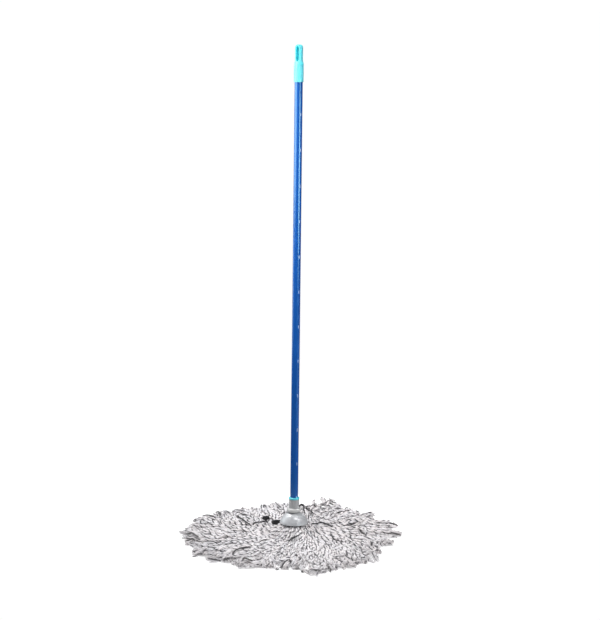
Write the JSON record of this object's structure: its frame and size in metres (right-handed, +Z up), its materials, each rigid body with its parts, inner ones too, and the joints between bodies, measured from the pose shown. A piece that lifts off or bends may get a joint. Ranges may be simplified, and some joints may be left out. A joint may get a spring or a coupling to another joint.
{
  "type": "spin mop",
  "caption": "Round string mop: film-covered steel tube handle with a slotted hanging cap, ribbed screw socket and domed swivelling head of twisted yarn.",
  "frame": {"origin": "on the floor under the handle's axis, at the centre of the spread yarn", "axes": "+Z up the handle; the hanging slot is open along Y; X is across the slot"},
  "size_m": [0.62, 0.62, 1.362],
  "materials": {
    "aqua_plastic": "satin",
    "blue_film": "gloss",
    "tube_steel": "satin",
    "grey_plastic": "matte",
    "silver_plastic": "satin",
    "zinc_steel": "satin",
    "dark_nylon": "matte",
    "yarn": "matte"
  },
  "bodies": {
    "handle": {"hanging_cap": "aqua_plastic", "tube_film": "blue_film", "steel_tube": "tube_steel", "threaded_insert": "aqua_plastic", "socket": "grey_plastic"},
    "head": {"swivel_bolt": "zinc_steel", "thrust_washer": "dark_nylon", "swivel_washer": "dark_nylon", "dome": "silver_plastic", "yarn_spacer": "dark_nylon", "clamp_plate": "zinc_steel", "spring_washer": "zinc_steel", "lock_nut": "zinc_steel", "yarn_lower_01": "yarn", "yarn_lower_02": "yarn", "yarn_lower_03": "yarn", "yarn_lower_04": "yarn", "yarn_lower_05": "yarn", "yarn_lower_06": "yarn", "yarn_lower_07": "yarn", "yarn_lower_08": "yarn", "yarn_lower_09": "yarn", "yarn_lower_10": "yarn", "yarn_lower_11": "yarn", "yarn_lower_12": "yarn", "yarn_upper_01": "yarn", "yarn_upper_02": "yarn", "yarn_upper_03": "yarn", "yarn_upper_04": "yarn", "yarn_upper_05": "yarn", "yarn_upper_06": "yarn", "yarn_upper_07": "yarn", "yarn_upper_08": "yarn", "yarn_upper_09": "yarn", "yarn_upper_10": "yarn", "yarn_upper_11": "yarn", "yarn_upper_12": "yarn"}
  },
  "joints": [
    {"name": "head_spin", "type": "hinge", "parent": "handle", "child": "head", "pos_m": [0, 0, 0.0765], "axis": [0, 0, 1], "continuous": true}
  ]
}
